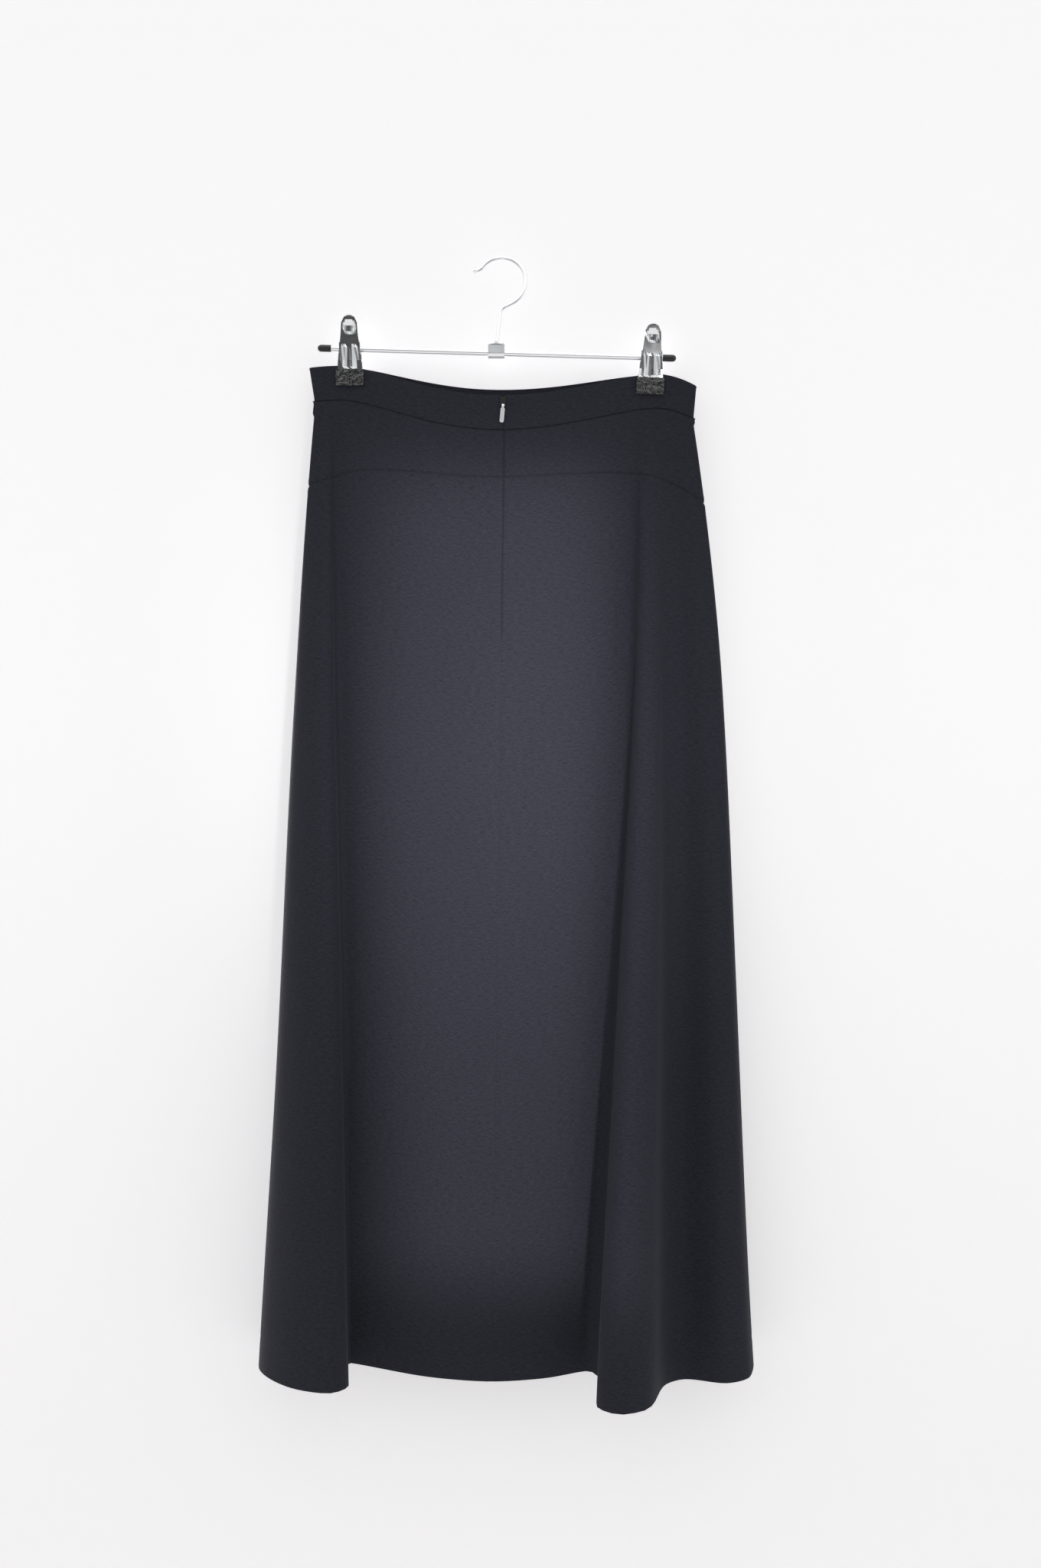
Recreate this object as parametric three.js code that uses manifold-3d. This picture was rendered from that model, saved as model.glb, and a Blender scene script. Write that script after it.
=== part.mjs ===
// A long A-line skirt with a yoke and a centre-back zip, held by its waistband in the two clips of a bar hanger.
// Millimetres, +Z up. The origin is the inside top of the hanger's hook, where a rail would hold it.
// -Y is the zip side, and "left" and "right" are as seen from there, so left is -X.
import * as THREE from "three";
import { mergeVertices } from "three/addons/utils/BufferGeometryUtils.js";
import Module from "manifold-3d";

const wasm = await Module();
wasm.setup();

const CLEAR = 0.3; // between pieces that touch in the real thing
const degrees = THREE.MathUtils.degToRad;
const mix = THREE.MathUtils.lerp;

// ---- Driving dimensions: the hanger ----

const BAR = { radius: 2.8, left: -177.7, right: 172.2, middle: -3.3, height: -91.4, slope: -0.0286 };
const CAP = { radius: 3.4, length: 13, spigot: 1.5, depth: 9 };
const COLLAR = { radius: 7.85, top: -81.4, thick: 2.3 };
const BOSS = { width: 15.8, deep: 11, bottom: -97.2, corner: 3 };
const WIRE = { radius: 1.7, ball: 2.5, lean: 6.4, socket: 3.5 };
// The hook's wire from the collar up: straight lengths, and bends that turn left (+) or right (-).
const HOOK_PATH = [
  { name: "stem", length: 29.4 },
  { name: "shoulder", radius: 8, turn: -58.3 },
  { name: "slope", length: 7.4 },
  { name: "crook", radius: 23.4, turn: 209.1 },
  { name: "curl", radius: 5, turn: -38 },
  { name: "tip", length: 4.5 },
];
const CLIP = {
  above: 30, // thumb end above the bar
  below: 36.5, // jaw below the bar
  sheet: 0.8,
  tipTop: -20.1,
  tipSheet: 2.4,
  dimple: { height: 18.8, radius: 6.8, deep: 1.3 },
  rib: { across: 4.65, half: 2.5, top: 3.1, proud: 0.9 },
  ear: { across: 8.4, thick: 1, radius: 6 },
  spring: { radius: 5, half: 6.4 },
};
// Half width and distance in front of the bar of a clip leaf, at heights from the bar.
const LEAF = [
  { name: "crown", height: 30, half: 1.6, out: 14.2 },
  { name: "crown_shoulder", height: 28.4, half: 5, out: 13.8 },
  { name: "thumb", height: 23, half: 7.7, out: 12.8 },
  { name: "neck", height: 10, half: 8.6, out: 10.3 },
  { name: "pivot", height: 0, half: 10, out: 8.4 },
  { name: "throat", height: -12, half: 11.4, out: 5.6 },
  { name: "tip_top", height: -20.1, half: 12, out: 4.2 },
  { name: "jaw", height: -35.7, half: 12.6, out: 4.2 },
];
const CLIPS = [
  { name: "clip_left", x: -146, lean: 0 },
  { name: "clip_right", x: 147.9, lean: 2.6 },
];

// ---- Driving dimensions: the skirt ----

const BAND = { height: 32.8, wall: 2, topMiddle: 3.15, topHalf: 188.2, seamMiddle: 4.25, seamHalf: 184.2 };
const PANEL_WALL = 1.2;
const PINCH = 1.7; // half the distance between the two layers where the clips press them
const SLIT = 1.6; // the band's opening at the zip
const YOKE = { centre: 48, side: 84, power: 2.2 };
// The waist seam: a line as level as the bar, which sags between the clips and droops outside them.
const SEAM = { height: -141, slope: -0.0257, lowest: -8, spanLeft: 146, spanRight: 163, power: 1.7 };
const GRIP = 22; // the layers part this far inside the sag's ends, clear of the clips
const HELD = { left: -150, right: 152, droopLeft: 2.6, droopRight: 7.2 };
const LAYER = {
  back: { sag: 26.3, belly: 8, hip: 20 },
  front: { sag: 18, belly: -4, hip: -7 },
};
const SIDE_BOW = { left: -3.5, right: 11 };
const ZIP = { tapeWidth: 24, tapeWall: 0.8, tapeInset: 1.7, top: -31.5, skirtRows: 3 };
const SLIDER = { width: 5.5, top: -136, bottom: -145.8, thick: 1.4, neck: 0.8, ear: 0.8 };
const TAB = { width: 4, length: 16.6, thick: 0.9, pin: 0.45, hole: 0.8, eye: 1.35, eyeWidth: 2.4, lean: 5 };

// Lines down the cloth, each from its place on the waist (a share of the half width, from the left side
// seam at -1 to the right one at 1) to its place at the hem: across, towards the zip side, and height.
const BACK_LINES = [
  { name: "side_left", waist: -1, x: -232.5, out: 4, z: -1071 },
  { name: "left_turn", waist: -0.985, x: -229, out: 40, z: -1071 },
  { name: "left_flank", waist: -0.955, x: -190, out: 98, z: -1073 },
  { name: "left_crest", waist: -0.93, x: -157, out: 110, z: -1074 },
  { name: "left_edge", waist: -0.912, x: -139.5, out: 86, z: -1074 },
  { name: "left_return", waist: -0.895, x: -148, out: 44, z: -1073 },
  { name: "left_valley", waist: -0.86, x: -146, out: 13, z: -1073 },
  { name: "left_belly", waist: -0.4, x: -62, out: 27, z: -1083 },
  { name: "centre_back", waist: 0, x: -7, out: 31, z: -1086 },
  { name: "right_belly", waist: 0.28, x: 42, out: 27, z: -1084 },
  { name: "right_valley", waist: 0.66, x: 86, out: 19, z: -1079 },
  { name: "right_return", waist: 0.7, x: 99, out: 52, z: -1083 },
  { name: "right_edge", waist: 0.725, x: 90.5, out: 97, z: -1089 },
  { name: "right_crest", waist: 0.75, x: 112, out: 124, z: -1089 },
  { name: "right_shoulder", waist: 0.775, x: 136, out: 114, z: -1087 },
  { name: "right_flank", waist: 0.81, x: 156, out: 60, z: -1080 },
  { name: "right_dip", waist: 0.87, x: 178, out: 43, z: -1080 },
  { name: "right_swell", waist: 0.94, x: 214, out: 58, z: -1080 },
  { name: "right_turn", waist: 0.985, x: 239, out: 45, z: -1078 },
];
// The front hangs near the wall, with two folds that reach in under the back's. From the right side seam.
const FRONT_LINES = [
  { name: "side_right", waist: 1, x: 246, out: 14, z: -1072 },
  { name: "right_corner", waist: 0.985, x: 238, out: -10, z: -1072 },
  { name: "right_wall", waist: 0.9, x: 200, out: -17, z: -1073 },
  { name: "right_heel", waist: 0.8, x: 146, out: -8, z: -1076 },
  { name: "right_fold", waist: 0.76, x: 118, out: 74, z: -1078 },
  { name: "right_foot", waist: 0.715, x: 98, out: -8, z: -1077 },
  { name: "right_plain", waist: 0.5, x: 70, out: -17, z: -1078 },
  { name: "centre_front", waist: 0, x: 0, out: -13, z: -1080 },
  { name: "left_plain", waist: -0.6, x: -110, out: -17, z: -1078 },
  { name: "left_heel", waist: -0.915, x: -158, out: -8, z: -1075 },
  { name: "left_fold", waist: -0.935, x: -173, out: 58, z: -1074 },
  { name: "left_foot", waist: -0.95, x: -188, out: -8, z: -1073 },
  { name: "left_wall", waist: -0.97, x: -208, out: -16, z: -1072 },
  { name: "left_corner", waist: -0.988, x: -227, out: -11, z: -1072 },
];
const FACET = 13; // about how wide the cloth's facets are, at the waist or the hem

// ---- The cloth as one closed tube ----

const LINES = [...BACK_LINES, ...FRONT_LINES];
const SIDE_RIGHT = BACK_LINES.length; // where the front begins
const CENTRE_BACK = BACK_LINES.findIndex((line) => line.name === "centre_back");
const STEPS = LINES.map((line, i) => {
  const next = LINES[(i + 1) % LINES.length];
  return Math.hypot(next.x - line.x, next.out - line.out);
});

/** A smooth value round the loop, through one value for each line, that never overshoots them. */
function roundLoop(values, turn = 0) {
  const count = values.length;
  const rise = values.map((value, i) => (values[(i + 1) % count] + (i + 1 === count ? turn : 0) - value) / STEPS[i]);
  const slope = rise.map((after, i) => {
    const before = rise[(i + count - 1) % count];
    return before * after > 0 ? (2 * before * after) / (before + after) : 0;
  });
  return (at) => {
    const wrapped = ((at % count) + count) % count;
    const i = Math.floor(wrapped);
    const f = wrapped - i;
    const start = values[i];
    const gain = rise[i] * STEPS[i];
    const [leave, arrive] = [slope[i] * STEPS[i], slope[(i + 1) % count] * STEPS[i]];
    return start + f * leave + f * f * (3 * gain - 2 * leave - arrive) + f ** 3 * (leave + arrive - 2 * gain);
  };
}

const hemX = roundLoop(LINES.map((line) => line.x));
const hemOut = roundLoop(LINES.map((line) => line.out));
const hemZ = roundLoop(LINES.map((line) => line.z));
// 0 to 2 along the back's waist, and on to 4 along the front's.
const waistAt = roundLoop(LINES.map((line, i) => (i < SIDE_RIGHT ? 1 + line.waist : 3 - line.waist)), 4);

/** How far the waist seam hangs below the level line, from 1 at its lowest to 0 at the clips' middles or edges. */
function sagShape(x, short = 0) {
  const span = (x < SEAM.lowest ? SEAM.spanLeft : SEAM.spanRight) - short;
  return Math.max(0, 1 - ((x - SEAM.lowest) / span) ** 2) ** SEAM.power;
}

/** The height of the waist seam of one layer. */
function seamHeight(x, layer) {
  const outside = x < HELD.left ? (HELD.left - x) / (BAND.seamHalf + HELD.left) : (x - HELD.right) / (BAND.seamHalf - HELD.right);
  const droop = outside > 0 ? (x < 0 ? HELD.droopLeft : HELD.droopRight) * outside ** 2 : 0;
  return SEAM.height + SEAM.slope * (x - BAND.seamMiddle) - layer.sag * sagShape(x) - Math.min(droop, 12);
}

/** A point of the cloth's middle surface, at a place round the loop and a distance down from the waist seam. */
function cloth(at, down) {
  const around = ((waistAt(at) % 4) + 4) % 4;
  const isBack = around <= 2;
  const layer = isBack ? LAYER.back : LAYER.front;
  const share = isBack ? around - 1 : 3 - around;
  const up = Math.max(0, -down) / BAND.height;
  const half = mix(BAND.seamHalf, BAND.topHalf, up) - PINCH;
  const along = share * (half + (Math.PI / 2) * PINCH);
  const bend = Math.max(0, Math.abs(along) - half) / PINCH;
  const reach = Math.min(Math.abs(along), half) + PINCH * Math.sin(bend);
  const waistX = mix(BAND.seamMiddle, BAND.topMiddle, up) + Math.sign(along) * reach;
  const waistOut = (isBack ? 1 : -1) * PINCH * Math.cos(bend) + layer.belly * sagShape(waistX, GRIP);
  const waistZ = seamHeight(waistX, layer);
  const fall = Math.max(0, down) / (waistZ - hemZ(at));
  const bow = 6.75 * fall * (1 - fall) ** 2 * share ** 2 * (share < 0 ? SIDE_BOW.left : SIDE_BOW.right);
  const hip = 14.93 * fall * (1 - fall) ** 5 * (1 - share ** 2) ** 1.5 * layer.hip;
  const x = mix(waistX, hemX(at), fall) + bow;
  const out = mix(waistOut, hemOut(at), fall) + hip;
  return new THREE.Vector3(x, -out, waistZ - down);
}

/** The cloth's outward direction, from how its surface runs round and down. */
function outward(at, down) {
  const [round, fall] = [0.01, 0.5];
  const across = cloth(at + round, down).sub(cloth(at - round, down));
  const along = cloth(at, down + fall).sub(cloth(at, down - fall));
  return along.cross(across).normalize();
}

/** The place round the loop that lies a distance past another, at one height. */
function beside(at, down, distance) {
  const small = 0.01 * Math.sign(distance || 1);
  return at + (small * Math.abs(distance)) / cloth(at, down).distanceTo(cloth(at + small, down));
}

/** How far below the waist seam the yoke seam runs. */
function yokeDepth(at) {
  const around = ((waistAt(at) % 4) + 4) % 4;
  const share = around <= 2 ? around - 1 : 3 - around;
  return YOKE.centre + (YOKE.side - YOKE.centre) * Math.abs(share) ** YOKE.power;
}

/** The hem's distance below the waist seam. */
function hemDepth(at) {
  return cloth(at, 0).z - hemZ(at);
}

/** The places of the cloth's columns of facets between two lines, two to seven columns to each gap. */
function columnsBetween(from, to) {
  const places = [from];
  for (let line = from; line < to; line++) {
    const wide = Math.max(STEPS[line], cloth(line, 0).distanceTo(cloth(line + 1, 0)));
    const count = Math.min(7, Math.max(2, Math.round(wide / FACET)));
    for (let i = 1; i <= count; i++) places.push(line + i / count);
  }
  return places;
}

/** A closed wall between two sheets of points, each [column][row], with its rim. */
function closedWall(outer, inner) {
  const [columns, rows] = [outer.length, outer[0].length];
  const position = [...outer.flat(), ...inner.flat()].flatMap((point) => point.toArray());
  const id = (i, j, side) => side * columns * rows + i * rows + j;
  const index = [];
  const quad = (a, b, c, d) => index.push(a, b, c, a, c, d);
  for (let i = 0; i + 1 < columns; i++) {
    for (let j = 0; j + 1 < rows; j++) {
      quad(id(i, j, 0), id(i, j + 1, 0), id(i + 1, j + 1, 0), id(i + 1, j, 0));
      quad(id(i, j, 1), id(i + 1, j, 1), id(i + 1, j + 1, 1), id(i, j + 1, 1));
    }
    quad(id(i, 0, 0), id(i + 1, 0, 0), id(i + 1, 0, 1), id(i, 0, 1));
    quad(id(i, rows - 1, 0), id(i, rows - 1, 1), id(i + 1, rows - 1, 1), id(i + 1, rows - 1, 0));
  }
  for (let j = 0; j + 1 < rows; j++) {
    quad(id(0, j, 0), id(0, j, 1), id(0, j + 1, 1), id(0, j + 1, 0));
    quad(id(columns - 1, j, 0), id(columns - 1, j + 1, 0), id(columns - 1, j + 1, 1), id(columns - 1, j, 1));
  }
  const geometry = new THREE.BufferGeometry();
  geometry.setAttribute("position", new THREE.Float32BufferAttribute(position, 3));
  geometry.setIndex(index);
  geometry.computeVertexNormals();
  return geometry;
}

const TIERS = [
  { name: "waistband", top: () => -BAND.height, bottom: () => 0, rows: 2, power: 1, wall: BAND.wall, slit: SLIT },
  { name: "yoke", top: () => 0, bottom: yokeDepth, rows: 3, power: 1, wall: PANEL_WALL, slit: CLEAR },
  { name: "skirt", top: yokeDepth, bottom: hemDepth, rows: 9, power: 1.6, wall: PANEL_WALL, slit: CLEAR },
];

/** The distances below the waist seam of a tier's rows of facets at one place, closer together near its top. */
function rowsOf({ top, bottom, rows, power }, at) {
  const [high, low] = [top(at) + CLEAR / 2, bottom(at) - CLEAR / 2];
  return [...Array(rows + 1).keys()].map((j) => mix(high, low, (j / rows) ** power));
}

/** A panel of one tier between two lines round the loop, with the given gaps left at those two ends. */
function panel(tier, from, to, gapFrom, gapTo) {
  const columns = columnsBetween(from, to).map((place) =>
    rowsOf(tier, place).map((down) => {
      let at = place;
      if (place === from) at = beside(place, down, gapFrom / 2);
      if (place === to) at = beside(place, down, -gapTo / 2);
      return { middle: cloth(at, down), normal: outward(at, down) };
    }),
  );
  const sheets = [tier.wall / 2, -tier.wall / 2].map((lift) =>
    columns.map((column) => column.map(({ middle, normal }) => middle.clone().addScaledVector(normal, lift))),
  );
  return closedWall(...sheets);
}

/** The waistband, yoke and skirt, each in a front piece and two back halves. */
function garment() {
  const pieces = {};
  for (const tier of TIERS) {
    pieces[`${tier.name}_back_left`] = panel(tier, 0, CENTRE_BACK, CLEAR, tier.slit);
    pieces[`${tier.name}_back_right`] = panel(tier, CENTRE_BACK, SIDE_RIGHT, tier.slit, CLEAR);
    pieces[`${tier.name}_front`] = panel(tier, SIDE_RIGHT, LINES.length, CLEAR, CLEAR);
  }
  return pieces;
}

/** The zip's tape, a strip behind the centre-back seam that follows the panels' rows of facets. */
function zipTape() {
  const columns = 4;
  const [, yoke, skirt] = TIERS.map((tier) => rowsOf(tier, CENTRE_BACK));
  const downs = [ZIP.top, ...yoke, ...skirt.slice(1, 1 + ZIP.skirtRows)];
  const sheets = [ZIP.tapeWall / 2, -ZIP.tapeWall / 2].map((lift) =>
    [...Array(columns + 1).keys()].map((i) =>
      downs.map((down) => {
        const at = beside(CENTRE_BACK, down, mix(-0.5, 0.5, i / columns) * ZIP.tapeWidth);
        return cloth(at, down).addScaledVector(outward(at, down), lift - ZIP.tapeInset);
      }),
    ),
  );
  return closedWall(...sheets);
}

// ---- Joining and cutting ----

function toSolid(geometry) {
  const bare = geometry.clone();
  bare.deleteAttribute("normal");
  bare.deleteAttribute("uv");
  const merged = mergeVertices(bare, 1e-5);
  const vertProperties = new Float32Array(merged.attributes.position.array);
  const triVerts = new Uint32Array(merged.index.array);
  return new wasm.Manifold(new wasm.Mesh({ numProp: 3, vertProperties, triVerts }));
}

function toGeometry(solid) {
  const mesh = solid.getMesh();
  const geometry = new THREE.BufferGeometry();
  geometry.setAttribute("position", new THREE.Float32BufferAttribute(mesh.vertProperties, 3));
  geometry.setIndex([...mesh.triVerts]);
  geometry.computeVertexNormals();
  return geometry;
}

function join(...geometries) {
  return toGeometry(geometries.map(toSolid).reduce((whole, next) => whole.add(next)));
}

function cut(geometry, ...tools) {
  return toGeometry(tools.map(toSolid).reduce((whole, tool) => whole.subtract(tool), toSolid(geometry)));
}

/** A cylinder along X. */
function rodX(radius, length, sides = 24) {
  return new THREE.CylinderGeometry(radius, radius, length, sides).rotateZ(-Math.PI / 2);
}

/** A block with its middle at the given place. */
function block(width, deep, high, x = 0, y = 0, z = 0) {
  return new THREE.BoxGeometry(width, deep, high).translate(x, y, z);
}

// ---- The hanger ----

const barTilt = Math.atan(BAR.slope);
const barHeight = (x) => BAR.height + BAR.slope * (x - BAR.middle);

/** The bar along X about its own middle, with a spigot at each end for its cap. */
function hangerBar(length) {
  const mouth = length / 2 - CAP.length;
  const shoulder = mouth - CLEAR;
  const tip = mouth + CAP.depth - CLEAR;
  const profile = [
    [0, -tip],
    [CAP.spigot, -tip],
    [CAP.spigot, -shoulder],
    [BAR.radius, -shoulder],
    [BAR.radius, shoulder],
    [CAP.spigot, shoulder],
    [CAP.spigot, tip],
    [0, tip],
  ];
  return new THREE.LatheGeometry(profile.map(([r, y]) => new THREE.Vector2(r, y)), 24).rotateZ(-Math.PI / 2);
}

/** An end cap with a round nose and a blind socket, its open face at x = 0 and its nose along +X. */
function endCap() {
  const socket = CAP.spigot + CLEAR;
  const nose = [15, 30, 45, 60, 75].map((angle) => [
    CAP.radius * Math.cos(degrees(angle)),
    CAP.length - CAP.radius + CAP.radius * Math.sin(degrees(angle)),
  ]);
  const profile = [
    [0, CAP.depth],
    [socket, CAP.depth],
    [socket, 0],
    [CAP.radius, 0],
    [CAP.radius, CAP.length - CAP.radius],
    ...nose,
    [0, CAP.length],
  ];
  return new THREE.LatheGeometry(profile.map(([r, y]) => new THREE.Vector2(r, y)), 20).rotateZ(-Math.PI / 2);
}

/** The hook's wire as a line of points in its own plane, from below the collar to the middle of the ball. */
function hookPoints() {
  const heading = new THREE.Vector2(Math.sin(degrees(WIRE.lean)), Math.cos(degrees(WIRE.lean)));
  const place = new THREE.Vector2(BAR.middle, COLLAR.top - COLLAR.thick - WIRE.socket);
  const points = [place.clone()];
  const forward = (distance) => points.push(place.addScaledVector(heading, distance).clone());
  forward(WIRE.socket + COLLAR.thick);
  for (const { length, radius, turn } of HOOK_PATH) {
    if (length) {
      forward(length);
      continue;
    }
    const parts = Math.ceil(Math.abs(turn) / 12);
    const step = degrees(turn / parts);
    for (let i = 0; i < parts; i++) {
      heading.rotateAround(new THREE.Vector2(), step / 2);
      forward(2 * radius * Math.sin(Math.abs(step) / 2));
      heading.rotateAround(new THREE.Vector2(), step / 2);
    }
  }
  return points;
}

/** Bent wire with round section and a ball on its end. */
function hangerHook() {
  const points = hookPoints().map(({ x, y }) => new THREE.Vector3(x, 0, y));
  const route = new THREE.CatmullRomCurve3(points, false, "centripetal");
  const section = new THREE.Shape().absarc(0, 0, WIRE.radius, 0, 2 * Math.PI);
  const wire = new THREE.ExtrudeGeometry(section, { steps: 60, curveSegments: 5, extrudePath: route });
  const end = points.at(-1);
  const ball = new THREE.SphereGeometry(WIRE.ball, 14, 10).translate(end.x, 0, end.z);
  return join(wire, ball);
}

/** A bore round the hook's wire, through the collar and into the boss. */
function wireBore() {
  const length = 2 * (WIRE.socket + COLLAR.thick);
  const bore = new THREE.CylinderGeometry(WIRE.radius + CLEAR, WIRE.radius + CLEAR, length, 20);
  bore.rotateX(Math.PI / 2).translate(0, 0, length / 2 - CLEAR).rotateY(degrees(WIRE.lean));
  return bore.translate(BAR.middle, 0, COLLAR.top - COLLAR.thick - WIRE.socket);
}

function hangerCollar() {
  const disc = new THREE.CylinderGeometry(COLLAR.radius, COLLAR.radius, COLLAR.thick - CLEAR, 32).rotateX(Math.PI / 2);
  return cut(disc.translate(BAR.middle, 0, COLLAR.top - (COLLAR.thick - CLEAR) / 2), wireBore());
}

/** The block that joins hook and bar, rounded below where it wraps the bar. */
function hangerBoss() {
  const top = COLLAR.top - COLLAR.thick;
  const half = BOSS.deep / 2;
  const outline = new THREE.Shape();
  outline.moveTo(-half, top);
  outline.lineTo(-half, barHeight(BAR.middle));
  outline.absarc(0, barHeight(BAR.middle), half, Math.PI, 2 * Math.PI, false);
  outline.lineTo(half, top);
  outline.closePath();
  const body = new THREE.ExtrudeGeometry(outline, { depth: BOSS.width, bevelEnabled: false, curveSegments: 10 });
  body.rotateX(Math.PI / 2).rotateZ(Math.PI / 2).translate(BAR.middle - BOSS.width / 2, 0, 0);
  const bore = rodX(BAR.radius + CLEAR, 2 * BOSS.width).rotateY(-barTilt).translate(BAR.middle, 0, barHeight(BAR.middle));
  return cut(body, bore, wireBore());
}

// ---- The clips, each about its own pivot on the bar ----

/** A value from the leaf's table at a height, straight between its rows. */
function leafAt(height, key) {
  const i = Math.max(1, LEAF.findIndex((row) => row.height <= height + 1e-9));
  const [high, low] = [LEAF[i - 1], LEAF[i]];
  return mix(low[key], high[key], (height - low.height) / (high.height - low.height));
}

/** How far the stamping stands proud of the leaf: two ribs, and a thumb dimple that is pressed in. */
function pressing(x, height) {
  const { dimple, rib } = CLIP;
  const away = Math.hypot(x, height - dimple.height) / dimple.radius;
  const dish = away < 1 ? -dimple.deep * (1 - away ** 2) : 0;
  const across = Math.abs(Math.abs(x) - rib.across) / rib.half;
  const ends = Math.min(1, Math.max(0, (rib.top - height) / 3), Math.max(0, (height - CLIP.tipTop) / 2));
  return dish + (across < 1 ? rib.proud * ends * (1 - across ** 2) : 0);
}

/** A stamped leaf with the two ears that run on the bar. */
function clipLeaf(earAcross) {
  const across = [-1, -0.8, -0.6, -0.42, -0.22, 0, 0.22, 0.42, 0.6, 0.8, 1];
  const heights = [30, 28.4, 26, 23, 20.5, 18, 15, 12, 7, 3.1, 0, -12, -18.1, -20.1, -35.7];
  const sheets = [CLIP.sheet / 2, -CLIP.sheet / 2].map((lift) =>
    across.map((share) =>
      heights.map((height) => {
        const x = share * leafAt(height, "half");
        return new THREE.Vector3(x, -(leafAt(height, "out") + pressing(x, height) + lift), height);
      }),
    ),
  );
  const { thick, radius } = CLIP.ear;
  const ears = [-1, 1].map((side) => {
    const ring = rodX(radius, thick, 20).translate(side * earAcross, 0, 0);
    const web = block(thick, leafAt(0, "out"), 2 * radius - 2, side * earAcross, -leafAt(0, "out") / 2, 0);
    return join(ring, web);
  });
  return cut(join(closedWall(...sheets), ...ears), rodX(BAR.radius + CLEAR, 40));
}

/** The soft sleeve on a jaw, with a slot for the leaf. */
function clipTip() {
  const top = CLIP.tipTop - CLEAR;
  const high = top + CLIP.below;
  const half = leafAt(-35.7, "half") + 0.9;
  const out = leafAt(-30, "out");
  const body = block(2 * half, CLIP.tipSheet, high, 0, -out, top - high / 2);
  const slot = block(2 * half - 1.2, CLIP.sheet + 2 * CLEAR, high, 0, -out, top - high / 2 + 0.5);
  return cut(body, slot);
}

/** The coil spring's outer form, round the bar between the ears. */
function clipSpring() {
  return cut(rodX(CLIP.spring.radius, 2 * CLIP.spring.half), rodX(BAR.radius + CLEAR, 40));
}

// ---- The zip's hardware, about the slider's pin ----

const sliderDown = cloth(CENTRE_BACK, 0).z - (SLIDER.top + SLIDER.bottom) / 2;
const seat = cloth(CENTRE_BACK, sliderDown);
const bandFace = seat.y - BAND.wall / 2;
const PIN = { x: seat.x, y: bandFace - CLEAR - SLIDER.thick - CLEAR - TAB.eye, z: SLIDER.bottom + 1 };

/** The slider: a plate on the band, a neck in the slit, and two ears that carry the pin. */
function zipSlider() {
  const front = bandFace - CLEAR;
  const high = SLIDER.top - SLIDER.bottom;
  const middle = (SLIDER.top + SLIDER.bottom) / 2;
  const plate = block(SLIDER.width, SLIDER.thick, high, PIN.x, front - SLIDER.thick / 2, middle);
  const neck = block(SLIDER.neck, BAND.wall + 2 * CLEAR, high - 3, PIN.x, front + BAND.wall / 2, middle);
  const across = TAB.eyeWidth / 2 + CLEAR + SLIDER.ear / 2;
  const ears = [-1, 1].map((side) => {
    const deep = front - PIN.y + 1;
    return block(SLIDER.ear, deep, 2, PIN.x + side * across, front - deep / 2, PIN.z);
  });
  const pin = rodX(TAB.pin, 2 * across, 12).translate(PIN.x, PIN.y, PIN.z);
  return join(plate, neck, ...ears, pin);
}

/** The pull tab: an eye on the pin, a short shank and a plate with a round end. */
function zipPullTab() {
  const half = TAB.width / 2;
  const outline = new THREE.Shape();
  outline.moveTo(-TAB.eyeWidth / 2, 0);
  outline.lineTo(-TAB.eyeWidth / 2, -2.2);
  outline.lineTo(-half, -3.2);
  outline.lineTo(-half, -TAB.length + 1);
  outline.lineTo(-half + 1, -TAB.length);
  outline.lineTo(half - 1, -TAB.length);
  outline.lineTo(half, -TAB.length + 1);
  outline.lineTo(half, -3.2);
  outline.lineTo(TAB.eyeWidth / 2, -2.2);
  outline.lineTo(TAB.eyeWidth / 2, 0);
  outline.closePath();
  const plate = new THREE.ExtrudeGeometry(outline, { depth: TAB.thick, bevelEnabled: false });
  plate.translate(0, 0, -TAB.thick / 2).rotateX(Math.PI / 2);
  const eye = rodX(TAB.eye, TAB.eyeWidth, 16);
  return cut(join(plate, eye), rodX(TAB.hole, 4 * TAB.width, 16));
}

// ---- The scene graph ----

const LOOKS = {
  cloth: { color: 0x3e3f47, roughness: 0.85, metalness: 0 },
  tape: { color: 0x17181c, roughness: 0.7, metalness: 0 },
  chrome: { color: 0xd8dadc, roughness: 0.12, metalness: 1 },
  cap: { color: 0x0c0c0d, roughness: 0.45, metalness: 0 },
  tip: { color: 0xdfe3e4, roughness: 0.15, metalness: 0 },
  slider: { color: 0x101113, roughness: 0.4, metalness: 0.3 },
};

const group = new THREE.Group();

/** Adds a named mesh with one of the looks. */
function add(parent, name, geometry, look) {
  const mesh = new THREE.Mesh(geometry, new THREE.MeshStandardMaterial(LOOKS[look]));
  mesh.name = name;
  parent.add(mesh);
  return mesh;
}

for (const [name, geometry] of Object.entries(garment())) add(group, name, geometry, "cloth");
add(group, "zip_tape", zipTape(), "tape");
add(group, "zip_slider", zipSlider(), "slider");
const tab = add(group, "zip_pull_tab", zipPullTab(), "chrome");
tab.position.set(PIN.x, PIN.y, PIN.z);
tab.rotation.y = degrees(TAB.lean);

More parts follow.
